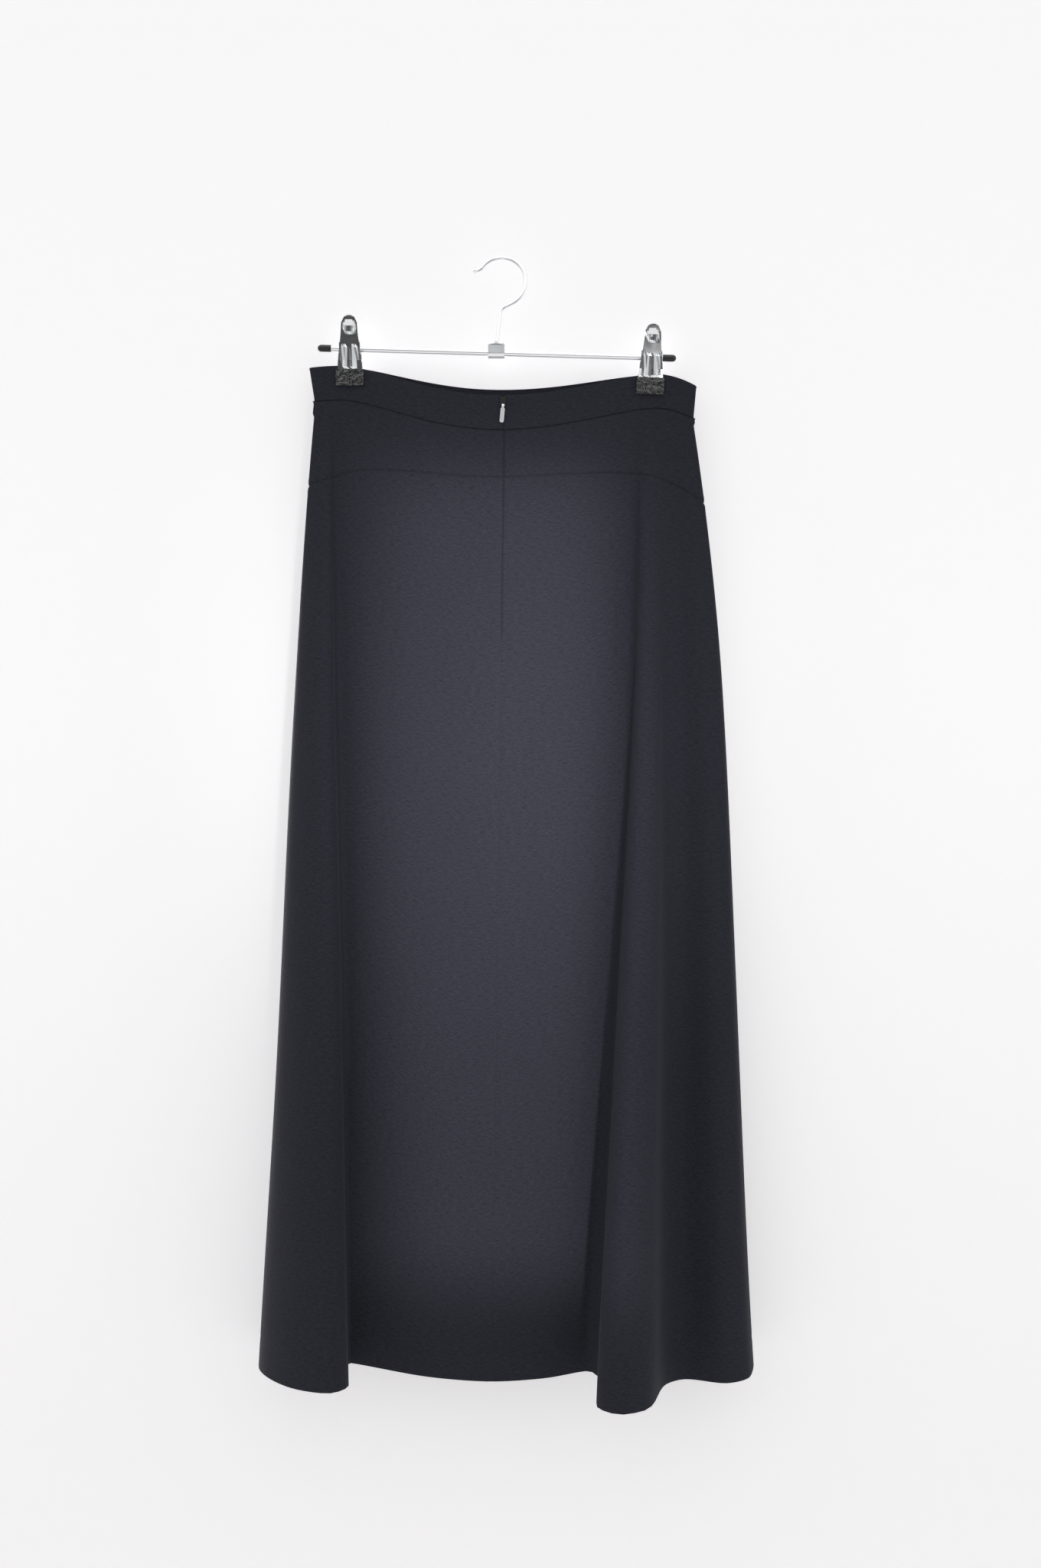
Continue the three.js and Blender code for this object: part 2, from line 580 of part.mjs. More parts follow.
const barLength = (BAR.right - BAR.left) / Math.cos(barTilt);
const barMiddle = (BAR.right + BAR.left) / 2;
const bar = new THREE.Group();
bar.position.set(barMiddle, 0, barHeight(barMiddle));
bar.rotation.y = -barTilt;
group.add(bar);
add(bar, "hanger_bar", hangerBar(barLength), "chrome");
for (const [name, side] of [["left", -1], ["right", 1]]) {
  const cap = add(bar, `hanger_cap_${name}`, endCap(), "cap");
  cap.position.x = side * (barLength / 2 - CAP.length);
  cap.rotation.y = side < 0 ? Math.PI : 0;
}
add(group, "hanger_boss", hangerBoss(), "chrome");
add(group, "hanger_collar", hangerCollar(), "chrome");
add(group, "hanger_hook", hangerHook(), "chrome");

for (const { name, x, lean } of CLIPS) {
  const clip = new THREE.Group();
  clip.position.set(x, 0, barHeight(x));
  clip.rotation.y = degrees(lean);
  group.add(clip);
  add(clip, `${name}_front_leaf`, clipLeaf(CLIP.ear.across + CLIP.ear.thick + CLEAR), "chrome");
  add(clip, `${name}_back_leaf`, clipLeaf(CLIP.ear.across), "chrome").rotation.z = Math.PI;
  add(clip, `${name}_spring`, clipSpring(), "chrome");
  add(clip, `${name}_front_tip`, clipTip(), "tip");
  add(clip, `${name}_back_tip`, clipTip(), "tip").rotation.z = Math.PI;
}

export default group;
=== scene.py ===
import math

import bpy
import numpy as np
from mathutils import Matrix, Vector


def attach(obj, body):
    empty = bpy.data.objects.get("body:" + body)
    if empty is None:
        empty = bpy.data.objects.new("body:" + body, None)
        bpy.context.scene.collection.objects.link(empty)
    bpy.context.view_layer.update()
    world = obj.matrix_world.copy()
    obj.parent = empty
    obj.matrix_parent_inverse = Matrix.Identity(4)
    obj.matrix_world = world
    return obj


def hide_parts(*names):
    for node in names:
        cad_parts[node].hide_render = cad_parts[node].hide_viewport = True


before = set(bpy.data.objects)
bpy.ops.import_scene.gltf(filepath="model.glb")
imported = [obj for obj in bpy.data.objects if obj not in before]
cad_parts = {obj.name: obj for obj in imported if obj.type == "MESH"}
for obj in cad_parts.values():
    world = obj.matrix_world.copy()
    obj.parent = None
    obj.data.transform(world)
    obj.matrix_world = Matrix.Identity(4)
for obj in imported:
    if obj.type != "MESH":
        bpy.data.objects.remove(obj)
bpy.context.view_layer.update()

bl_info = {
    "name": "A-line skirt on a clip hanger",
    "version": (1, 0, 0),
    "blender": (4, 5, 0),
    "location": "3D View > Sidebar > Skirt",
    "description": "Builds a hung A-line skirt, its zip, its clip hanger and a plain stage",
    "category": "Object",
}

MM = 0.001
GARMENT = "garment"
CUT = "Cut"

# The garment's sizes are in millimetres, and left and right are as seen from the zip side.
BAND = {
    "height": 32.8, "wall": 2.0,
    "top_middle": 3.15, "top_half": 188.2, "seam_middle": 4.25, "seam_half": 184.2,
}
PANEL_WALL = 1.2
# Half the distance between the two layers' middles where the clips press them together.
PINCH = 1.7
# How far beside each clip the layers still lie together.
GRIP = 22
# Gaps between pieces: at a seam, at the centre-back seam below the zip, and at the waistband's opening.
CLEAR = 0.3
SEWN = 0.06
SLIT = 1.6
YOKE = {"centre": 48, "side": 84, "power": 2.2}
SEAM = {"height": -141, "slope": -0.0257, "lowest": -8, "span_left": 146, "span_right": 163, "power": 1.7}
HELD = {"left": -150, "right": 152, "droop_left": 2.6, "droop_right": 7.2, "most_droop": 12}
LAYER = {"back": {"sag": 26.3, "belly": 8, "hip": 20}, "front": {"sag": 18, "belly": -4, "hip": -7}}
SIDE_BOW = {"left": -3.5, "right": 11}
# These make the products of powers in the bow and in the hip one at their highest.
BOW_PEAK = 6.75
HIP_PEAK = 14.93
ZIP_END = 202
HEM = {"turn": 27, "stitch_depth": 0.22, "stitch_width": 2.5, "thicker": 0.9, "edge": 1.5}

# Creases. Each clip has its place across and the way towards the middle. A drag line has a lean, a width and
# a height. A wave has a height, a length across, a length down and a start.
CLIPS = ((-146, 1), (147.9, -1))
TROUGH = {"depth": 1.5, "width": 1.1, "swell": 0.2, "swell_place": 4.2, "swell_width": 2.6, "below_zip": 0.3}
DRAG = {"rise": 60, "fade": 170, "start": 5, "lines": ((-0.1, 7, 1.1), (0.07, 9, 0.9), (0.2, 12, 0.8))}
RIPPLE = {"height": 0.35, "place": 9, "width": 5, "wave": 11, "uneven": 37, "fade": 20}
PUCKER = {"height": 2.0, "place": 9, "length": 9, "width": 2.6}
YOKE_CREASE = {"height": 2.6, "x": -83, "start": 12, "lean": 0.4, "width": 6, "end": 95, "fade": 60}
WAVES = {"rise": 250, "sines": ((0.9, 31, 260, 1.3), (0.6, 17, -190, 0), (0.4, 44, 83, 0))}
# Stands for a place that no crease beside the zip reaches.
FAR = 1000

# How the grids are laid: the turns' rounding in shares of the way between two lines, and the points' spread.
ROUNDING = {"reach": 0.22, "width": 0.26, "samples": 7}
MESH = {
    "gathering": 0.75, "fine": 4000, "measured_at": (700.0, 1.0),
    "fewest": 24, "fewest_rows": 12, "row_stretch": 1.4,
}
SHARP_EDGE = math.radians(50)

# Finishes: colour, roughness and metal share.
FINISHES = {
    "Chrome": ((0.8, 0.81, 0.82), 0.1, 1.0),
    "Satin chrome": ((0.88, 0.89, 0.9), 0.32, 1.0),
    "Zip tape": ((0.009, 0.01, 0.012), 0.7, 0.0),
    "Black lacquer": ((0.006, 0.006, 0.007), 0.35, 0.0),
    "Black cap": ((0.006, 0.006, 0.006), 0.4, 0.0),
}
# The crepe's patterns: scale, detail and stretch. Flecks of lint are where their noise passes a level.
WEAVE = {
    "slubs": (520, 3, (0.35, 1.6, 1)),
    "threads": (800, 2, (1.5, 0.5, 1)),
    "mottle": (14, 3),
    "lint": (260, 1),
    "depth": 1.9,
    "mottle_depth": 0.08,
    "lint_from": 0.835,
    "lint_shade": 1.1,
}
# Plating: haze and scratches as scale, detail and stretch.
HANDLING = {"haze": (90, 3), "haze_middle": 0.4, "haze_depth": 0.16, "scratches": (700, 2, (0.2, 1, 1))}

# The stage, in metres. The wall's glow to the camera carries painted shade: it darkens between two heights,
# down to a share of itself below them.
STAGE = {
    "wall": 0.03, "floor": -2.2, "top": 4, "side": 6,
    "pale": (0.91, 0.895, 0.9), "glow": (1, 0.99, 0.995, 1),
}
WALL_PAINTED_SHADE = {"heights": (-1.35, -0.35), "share": 0.8}
# The room's light by the height of its direction, and how much more of it plating and camera see.
ROOM = {
    "colour": (0.98, 0.99, 1, 1),
    "heights": (-0.5, 0.7),
    "levels": (0.45, 1.7),
    "ahead": (-1.0, -0.82),
    "mirrored": (-0.75, 2.0),
    "seen": 1.8,
}
LAMPS = {
    "Key": {"place": (0.26, -1.27, -0.6), "target": (-0.01, 0, -0.6), "size": (0.22, 0.79), "spread": 6.2},
    "Upper key": {"place": (0.27, -1.27, -0.46), "target": (0, 0, -0.46), "size": (0.16, 0.4), "spread": 24},
    "Behind": {"place": (-0.9, 1.9, 0.1), "target": (0, 0, -0.6), "size": (1.2, 1.2), "spread": 120},
}
CAMERA = {"x": 0.0203, "z": -0.5117, "sensor": 36}

# Lines down the cloth: place on the waist (share of the half width), then across, towards the zip side and
# height at the hem, in millimetres. The back runs from its left side seam, the front from its right one.
BACK_LINES = [
    ("side_left", -1, -232.5, 4, -1071),
    ("left_turn", -0.985, -229, 40, -1071),
    ("left_flank", -0.955, -190, 98, -1073),
    ("left_crest", -0.93, -157, 110, -1074),
    ("left_edge", -0.912, -139.5, 86, -1074),
    ("left_return", -0.895, -148, 44, -1073),
    ("left_valley", -0.86, -146, 13, -1073),
    ("left_belly", -0.4, -62, 27, -1083),
    ("centre_back", 0, -7, 31, -1086),
    ("right_belly", 0.28, 42, 27, -1084),
    ("right_valley", 0.66, 86, 19, -1079),
    ("right_return", 0.7, 99, 52, -1083),
    ("right_edge", 0.725, 90.5, 97, -1089),
    ("right_crest", 0.75, 112, 124, -1089),
    ("right_shoulder", 0.775, 136, 114, -1087),
    ("right_flank", 0.81, 156, 60, -1080),
    ("right_dip", 0.87, 178, 43, -1080),
    ("right_swell", 0.94, 214, 58, -1080),
    ("right_turn", 0.985, 239, 45, -1078),
]
FRONT_LINES = [
    ("side_right", 1, 246, 14, -1072),
    ("right_corner", 0.985, 238, -10, -1072),
    ("right_wall", 0.9, 200, -17, -1073),
    ("right_heel", 0.8, 146, -8, -1076),
    ("right_fold", 0.76, 118, 74, -1078),
    ("right_foot", 0.715, 98, -8, -1077),
    ("right_plain", 0.5, 70, -17, -1078),
    ("centre_front", 0, 0, -13, -1080),
    ("left_plain", -0.6, -110, -17, -1078),
    ("left_heel", -0.915, -158, -8, -1075),
    ("left_fold", -0.935, -173, 58, -1074),
    ("left_foot", -0.95, -188, -8, -1073),
    ("left_wall", -0.97, -208, -16, -1072),
    ("left_corner", -0.988, -227, -11, -1072),
]
LINES = BACK_LINES + FRONT_LINES
COUNT = len(LINES)
SIDE_RIGHT = len(BACK_LINES)
CENTRE_BACK = [line[0] for line in BACK_LINES].index("centre_back")
PLAN = np.array([line[2:4] for line in LINES], float)
STEPS = np.linalg.norm(np.roll(PLAN, -1, axis=0) - PLAN, axis=1)
HEM_HEIGHTS = [line[4] for line in LINES]
# The way round the waist in half widths: from the left side seam across the back, then back across the front.
WAY_ROUND = [1 + line[1] if i < SIDE_RIGHT else 3 - line[1] for i, line in enumerate(LINES)]


# ---- The cloth's surface ----

def round_loop(values, at, turn=0.0):
    """Hermite curve through one value for each line, its slope the harmonic mean of the two chords' slopes.

    The turn is what the value gains in going once round the loop.
    """
    values = np.asarray(values, float)
    after = np.roll(values, -1)
    after[-1] += turn
    rise = (after - values) / STEPS
    before = np.roll(rise, 1)
    same = before * rise > 0
    slope = np.where(same, 2 * before * rise / np.where(same, before + rise, 1), 0)
    wrapped = np.mod(at, COUNT)
    i = np.minimum(wrapped.astype(int), COUNT - 1)
    f = wrapped - i
    gain, leave, arrive = rise[i] * STEPS[i], slope[i] * STEPS[i], slope[(i + 1) % COUNT] * STEPS[i]
    return values[i] + f * leave + f**2 * (3 * gain - 2 * leave - arrive) + f**3 * (leave + arrive - 2 * gain)


def rounded_loop(values, at):
    """The loop's value averaged to both sides with a cosine's weights, which rounds its turns."""
    spread = np.linspace(-ROUNDING["reach"], ROUNDING["reach"], ROUNDING["samples"])
    weights = np.cos(spread / ROUNDING["width"] * math.pi / 2)
    total = sum(weight * round_loop(values, at + step) for step, weight in zip(spread, weights))
    return total / weights.sum()


def waist_share(at):
    """Share of the half waist from the left side seam to the right one, and whether it is the back's."""
    around = np.mod(round_loop(WAY_ROUND, at, 4.0), 4)
    is_back = around <= 2
    return np.where(is_back, around - 1, 3 - around), is_back


def sag_shape(x, short=0.0):
    """One at the sag's lowest place, falling to nothing at its two ends as a power of a parabola."""
    span = np.where(x < SEAM["lowest"], SEAM["span_left"], SEAM["span_right"]) - short
    return np.maximum(0, 1 - ((x - SEAM["lowest"]) / span) ** 2) ** SEAM["power"]


def layer_value(is_back, key):
    """A size of the back layer or the front one."""
    return np.where(is_back, LAYER["back"][key], LAYER["front"][key])


def waist(share, is_back, down):
    """A point's place on the waist: two flat layers with round ends that part between the clips.

    Its height is that of the waist seam, which slopes, sags between the clips and droops as a square
    past them.
    """
    up = np.maximum(0, -down) / BAND["height"]
    half = BAND["seam_half"] + (BAND["top_half"] - BAND["seam_half"]) * up - PINCH
    along = share * (half + math.pi / 2 * PINCH)
    bend = np.maximum(0, np.abs(along) - half) / PINCH
    reach = np.minimum(np.abs(along), half) + PINCH * np.sin(bend)
    middle = BAND["seam_middle"] + (BAND["top_middle"] - BAND["seam_middle"]) * up
    x = middle + np.sign(along) * reach
    parting = layer_value(is_back, "belly") * sag_shape(x, GRIP)
    out = np.where(is_back, 1, -1) * PINCH * np.cos(bend) + parting
    past_left = np.maximum(0, (HELD["left"] - x) / (BAND["seam_half"] + HELD["left"]))
    past_right = np.maximum(0, (x - HELD["right"]) / (BAND["seam_half"] - HELD["right"]))
    droop = HELD["droop_left"] * past_left**2 + HELD["droop_right"] * past_right**2
    z = SEAM["height"] + SEAM["slope"] * (x - BAND["seam_middle"])
    z = z - layer_value(is_back, "sag") * sag_shape(x) - np.minimum(droop, HELD["most_droop"])
    return x, out, z


def cloth(at, down):
    """The middle of the cloth, a tube drawn in straight lines from the flat waist to the folds of the hem.

    Each point lies on the straight line from its place on the waist to its place at the hem. To this are added
    a bow of the side seams and a hip, each a product of powers of the way down and of the share across.
    """
    share, is_back = waist_share(at)
    waist_x, waist_out, waist_z = waist(share, is_back, down)
    fall = np.maximum(0, down) / (waist_z - rounded_loop(HEM_HEIGHTS, at))
    side_bow = np.where(share < 0, SIDE_BOW["left"], SIDE_BOW["right"])
    bow = BOW_PEAK * fall * (1 - fall) ** 2 * share**2 * side_bow
    across = (1 - np.clip(share, -1, 1) ** 2) ** 1.5
    hip = HIP_PEAK * fall * (1 - fall) ** 5 * across * layer_value(is_back, "hip")
    x = waist_x + (rounded_loop(PLAN[:, 0], at) - waist_x) * fall + bow
    out = waist_out + (rounded_loop(PLAN[:, 1], at) - waist_out) * fall + hip
    return np.stack([x, -out, waist_z - down], axis=-1)


def waist_seam(at):
    """The waist seam, from which every way down is measured."""
    return np.zeros_like(at)


def band_top(at):
    """The waistband's top edge, above the waist seam."""
    return np.full_like(at, -BAND["height"])


def yoke_depth(at):
    """The yoke seam's distance below the waist seam, a power curve from the centre to the sides."""
    share, _ = waist_share(at)
    return YOKE["centre"] + (YOKE["side"] - YOKE["centre"]) * np.abs(share) ** YOKE["power"]


def hem_depth(at):
    """The hem's distance below the waist seam."""
    return cloth(at, np.zeros_like(at))[..., 2] - rounded_loop(HEM_HEIGHTS, at)


# ---- Its creases, as how far the cloth stands off the plain form, in millimetres ----

def bell(distance, width):
    """One in the middle, falling to both sides as a bell curve."""
    return np.exp(-((distance / width) ** 2))


def seam_troughs(down, seams):
    """Each seam is a sharp trough, falling off exponentially, with a low swell beside it."""
    lift = np.zeros_like(down)
    for distance in seams:
        swell = TROUGH["swell"] * bell(distance - TROUGH["swell_place"], TROUGH["swell_width"])
        lift += swell - TROUGH["depth"] * np.exp(-np.abs(distance) / TROUGH["width"])
    return lift * np.where(down < ZIP_END, 1.0, TROUGH["below_zip"])


def drag_lines(x, down):
    """Ridges that lean away below each clip: bells across, rising at once and fading exponentially."""
    fade = np.clip(down / DRAG["rise"], 0, 1) * np.exp(-np.maximum(down, 0) / DRAG["fade"])
    lift = np.zeros_like(x)
    for clip_x, inward in CLIPS:
        for lean, width, height in DRAG["lines"]:
            lift += height * fade * bell(x - clip_x - inward * (lean * down + DRAG["start"]), width)
    return lift


def zip_creases(x, z, down, centre):
    """An uneven ripple, the sine of a sine, on both sides of the zip, and a short ridge across its end."""
    on_zip = np.clip((ZIP_END - down) / RIPPLE["fade"], 0, 1) * (down > 0)
    beside = bell(np.abs(centre) - RIPPLE["place"], RIPPLE["width"])
    unevenness = np.sin(z / RIPPLE["uneven"]) * 2
    ripple = RIPPLE["height"] * on_zip * beside * np.sin(z / RIPPLE["wave"] + unevenness)
    ridge = PUCKER["height"] * bell(centre - PUCKER["place"], PUCKER["length"])
    return ripple + ridge * bell(down - ZIP_END, PUCKER["width"])


def yoke_crease(x, down):
    """A soft slanting ridge in the yoke's left half: a bell across, fading at both ends."""
    middle = YOKE_CREASE["x"] + (down - YOKE_CREASE["start"]) * YOKE_CREASE["lean"]
    length = np.clip(down / YOKE_CREASE["start"], 0, 1)
    length = length * np.clip((YOKE_CREASE["end"] - down) / YOKE_CREASE["fade"], 0, 1)
    return YOKE_CREASE["height"] * bell(x - middle, YOKE_CREASE["width"]) * length


def panel_waves(x, z, down):
    """Slow waves across the panels, a sum of sines that grows down from the waist."""
    waves = sum(height * np.sin(x / wide + z / long + start) for height, wide, long, start in WAVES["sines"])
    return waves * np.clip(down / WAVES["rise"], 0, 1)


def creases(at, down, points, seams):
    """The sum of all the creases."""
    x, z = points[..., 0], points[..., 2]
    _, is_back = waist_share(at)
    centre = np.where(is_back, x - cloth(np.full_like(at, CENTRE_BACK), down)[..., 0], FAR)
    lift = seam_troughs(down, seams) + drag_lines(x, down) + zip_creases(x, z, down, centre)
    return lift + yoke_crease(x, down) + panel_waves(x, z, down)


# ---- Cloth pieces ----

def grid_normals(points):
    """Outward directions of a grid of points: the cross product of its steps down and its steps round."""
    normal = np.cross(np.gradient(points, axis=1), np.gradient(points, axis=0))
    return normal / np.maximum(np.linalg.norm(normal, axis=-1, keepdims=True), 1e-9)


def new_shell(name, points, inward, outward, uv):
    """A closed thin shell: a grid's two faces, joined round its edge, with sharp edges where they meet."""
    columns, rows = points.shape[:2]
    vertices = np.concatenate([(points + outward).reshape(-1, 3), (points + inward).reshape(-1, 3)]) * MM
    index = np.arange(columns * rows).reshape(columns, rows)
    corners = (index[:-1, :-1], index[:-1, 1:], index[1:, 1:], index[1:, :-1])
    outer = np.stack([corner.ravel() for corner in corners], axis=1)
    inner = outer[:, ::-1] + columns * rows
    edge = np.concatenate([index[0, :-1], index[:-1, -1], index[-1, :0:-1], index[:0:-1, 0]])
    onward = np.roll(edge, -1)
    rim = np.stack([onward, edge, edge + columns * rows, onward + columns * rows], axis=1)
    quads = np.concatenate([outer, inner, rim])
    mesh = bpy.data.meshes.new(name)
    mesh.from_pydata(vertices.tolist(), [], quads.tolist())
    layer = mesh.uv_layers.new(name=CUT)
    layer.data.foreach_set("uv", np.concatenate([uv, uv])[quads.ravel()].astype(np.float32).ravel())
    mesh.shade_smooth()
    mesh.set_sharp_from_angle(angle=SHARP_EDGE)
    piece = bpy.data.objects.new(name, mesh)
    bpy.context.scene.collection.objects.link(piece)
    return piece


def gathered(count):
    """Shares from 0 to 1, less a part of a sine, so that they lie closest together at both ends."""
    share = np.linspace(0, 1, count)
    return share - MESH["gathering"] * np.sin(2 * math.pi * share) / (2 * math.pi)


def way_along(points):
    """How far each point of a grid or line is from its first one, along the first axis."""
    steps = np.linalg.norm(np.diff(points, axis=0), axis=-1)
    return np.concatenate([np.zeros((1, *steps.shape[1:])), np.cumsum(steps, axis=0)])


def column_places(first, last, spacing):
    """Places on the loop between two lines, spaced by the way round near the waist and low down together."""
    fine = np.linspace(first, last, MESH["fine"])
    travelled = sum(way_along(cloth(fine, np.full_like(fine, down))) for down in MESH["measured_at"])
    columns = int(travelled[-1] / spacing / len(MESH["measured_at"]))
    return np.interp(gathered(max(MESH["fewest"], columns)) * travelled[-1], travelled, fine)


def side_gaps(points, down, gap_first, gap_last):
    """Moves the two side edges in by half a gap, which is narrower where the seam is sewn, below the zip."""
    moves = np.zeros_like(points)
    for end, inner, gap in ((0, 1, gap_first), (-1, -2, gap_last)):
        along = points[inner] - points[end]
        width = np.where(down[end] < ZIP_END, gap, SEWN)[:, None] / 2
        moves[end] = along / np.linalg.norm(along, axis=-1, keepdims=True) * width
    return points + moves


def add_panel(node, tier, first, last, gap_first, gap_last, settings):
    """A panel: the cloth between two lines and two seams, lifted by its creases, as a thin shell."""
    place = column_places(first, last, settings.spacing)
    top, bottom = tier["top"](place), tier["bottom"](place)
    rows = int((bottom.max() - top.min()) / settings.spacing / MESH["row_stretch"])
    share = gathered(max(MESH["fewest_rows"], rows))
    down = (top + CLEAR / 2)[:, None] * (1 - share) + (bottom - CLEAR / 2)[:, None] * share
    at = np.repeat(place[:, None], len(share), axis=1)
    points = side_gaps(cloth(at, down), down, gap_first, gap_last)
    across = way_along(points)
    above_edge = bottom[:, None] - down
    seams = [across, across[-1] - across, down - top[:, None]]
    if not tier["hem"]:
        seams.append(above_edge)
    lift = creases(at, down, points, seams) * tier["crease"]
    points = points + grid_normals(points) * lift[..., None]
    normals = grid_normals(points)
    outward = normals * tier["wall"] / 2
    inward = -outward
    if tier["hem"]:
        stitches = HEM["stitch_depth"] * bell(above_edge - HEM["turn"], HEM["stitch_width"])
        points = points - normals * stitches[..., None]
        turned = HEM["thicker"] * np.clip((HEM["turn"] - above_edge) / HEM["edge"], 0, 1)
        inward = inward - normals * turned[..., None]
    uv = np.stack([across, down], axis=-1).reshape(-1, 2) * MM
    piece = new_shell(f"{node}_cloth", points, inward, outward, uv)
    piece.data.materials.append(cloth_material(settings))
    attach(piece, GARMENT)
    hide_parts(node)


TIERS = {
    "waistband": {
        "top": band_top, "bottom": waist_seam, "wall": BAND["wall"],
        "slit": SLIT, "crease": 0.35, "hem": False,
    },
    "yoke": {
        "top": waist_seam, "bottom": yoke_depth, "wall": PANEL_WALL,
        "slit": CLEAR, "crease": 1.0, "hem": False,
    },
    "skirt": {
        "top": yoke_depth, "bottom": hem_depth, "wall": PANEL_WALL, "slit": CLEAR, "crease": 1.0, "hem": True,
    },
}


def add_tier(name, settings):
    """The two back halves and the front piece of one tier."""
    tier = TIERS[name]
    slit = tier["slit"]
    add_panel(f"{name}_back_left", tier, 0, CENTRE_BACK, CLEAR, slit, settings)
    add_panel(f"{name}_back_right", tier, CENTRE_BACK, SIDE_RIGHT, slit, CLEAR, settings)
    add_panel(f"{name}_front", tier, SIDE_RIGHT, COUNT, CLEAR, CLEAR, settings)


# ---- Materials ----

def new_group(name, inputs, outputs):
    """An empty shader node group with named sockets, as (tree, its input node, its output node)."""
    tree = bpy.data.node_groups.new(name, "ShaderNodeTree")
    for label, kind, value in inputs:
        socket = tree.interface.new_socket(label, in_out="INPUT", socket_type=kind)
        if value is not None:
            socket.default_value = value
    for label, kind in outputs:
        tree.interface.new_socket(label, in_out="OUTPUT", socket_type=kind)
    return tree, tree.nodes.new("NodeGroupInput"), tree.nodes.new("NodeGroupOutput")


def math_node(tree, operation, a, b):
    """The result of one sum, whose two parts are numbers or other nodes' results."""
    node = tree.nodes.new("ShaderNodeMath")
    node.operation = operation
    for socket, value in zip(node.inputs, (a, b)):
        if isinstance(value, bpy.types.NodeSocket):
            tree.links.new(value, socket)
        else:
            socket.default_value = value
    return node.outputs[0]


def varied(tree, value, middle, depth):
    """One, plus a depth times how far a value is from its middle."""
    off = math_node(tree, "SUBTRACT", value, middle)
    return math_node(tree, "ADD", math_node(tree, "MULTIPLY", off, depth), 1.0)


def noise_node(tree, vector, scale, detail, stretch=(1, 1, 1)):
    """Noise of a scale and detail, stretched along the axes."""
    mapping = tree.nodes.new("ShaderNodeMapping")
    mapping.inputs["Scale"].default_value = stretch
    tree.links.new(vector, mapping.inputs["Vector"])
    noise = tree.nodes.new("ShaderNodeTexNoise")
    noise.inputs["Scale"].default_value = scale
    noise.inputs["Detail"].default_value = detail
    tree.links.new(mapping.outputs[0], noise.inputs["Vector"])
    return noise.outputs["Fac"]


def weave_group():
    """Crepe weave: short uneven threads across, finer ones down, a slow mottle and a few flecks of lint."""
    name = "Crepe weave"
    if name in bpy.data.node_groups:
        return bpy.data.node_groups[name]
    inputs = [
        ("Vector", "NodeSocketVector", None),
        ("Colour", "NodeSocketColor", (0.033, 0.034, 0.045, 1)),
        ("Depth", "NodeSocketFloat", WEAVE["depth"]),
    ]
    tree, into, out = new_group(name, inputs, [("Colour", "NodeSocketColor"), ("Height", "NodeSocketFloat")])
    uv = into.outputs["Vector"]
    patterns = ("slubs", "threads", "mottle", "lint")
    slubs, threads, mottle, lint = (noise_node(tree, uv, *WEAVE[pattern]) for pattern in patterns)
    weave = math_node(tree, "MULTIPLY", math_node(tree, "ADD", slubs, threads), 0.5)
    shade = varied(tree, weave, 0.5, into.outputs["Depth"])
    slow = varied(tree, mottle, 0.5, WEAVE["mottle_depth"])
    fleck = math_node(tree, "GREATER_THAN", lint, WEAVE["lint_from"])
    fleck = math_node(tree, "MULTIPLY", fleck, WEAVE["lint_shade"])
    total = math_node(tree, "ADD", math_node(tree, "MULTIPLY", shade, slow), fleck)
    scale = tree.nodes.new("ShaderNodeVectorMath")
    scale.operation = "SCALE"
    tree.links.new(into.outputs["Colour"], scale.inputs[0])
    tree.links.new(total, scale.inputs["Scale"])
    tree.links.new(scale.outputs[0], out.inputs["Colour"])
    tree.links.new(weave, out.inputs["Height"])
    return tree


def metal_group():
    """Handled plating: roughness that drifts slowly, with fine scratches along the piece."""
    name = "Handled plating"
    if name in bpy.data.node_groups:
        return bpy.data.node_groups[name]
    inputs = [("Vector", "NodeSocketVector", None), ("Roughness", "NodeSocketFloat", 0.12)]
    outputs = [("Roughness", "NodeSocketFloat"), ("Height", "NodeSocketFloat")]
    tree, into, out = new_group(name, inputs, outputs)
    haze = noise_node(tree, into.outputs["Vector"], *HANDLING["haze"])
    scratches = noise_node(tree, into.outputs["Vector"], *HANDLING["scratches"])
    drift = math_node(tree, "SUBTRACT", haze, HANDLING["haze_middle"])
    drift = math_node(tree, "MULTIPLY", drift, HANDLING["haze_depth"])
    tree.links.new(math_node(tree, "ADD", into.outputs["Roughness"], drift), out.inputs["Roughness"])
    tree.links.new(scratches, out.inputs["Height"])
    return tree


def new_material(name, colour, roughness, metallic=0.0, **constants):
    """A material with its constants on the shader's own sockets, as (material, tree, shader)."""
    material = bpy.data.materials.new(name)
    material.use_nodes = True
    shader = material.node_tree.nodes["Principled BSDF"]
    shader.inputs["Base Color"].default_value = (*colour, 1)
    shader.inputs["Roughness"].default_value = roughness
    shader.inputs["Metallic"].default_value = metallic
    for key, value in constants.items():
        shader.inputs[key.replace("_", " ")].default_value = value
    return material, material.node_tree, shader


def add_bump(tree, shader, height, strength, distance):
    """Fine relief from a height."""
    bump = tree.nodes.new("ShaderNodeBump")
    bump.inputs["Strength"].default_value = strength
    bump.inputs["Distance"].default_value = distance
    tree.links.new(height, bump.inputs["Height"])
    tree.links.new(bump.outputs[0], shader.inputs["Normal"])


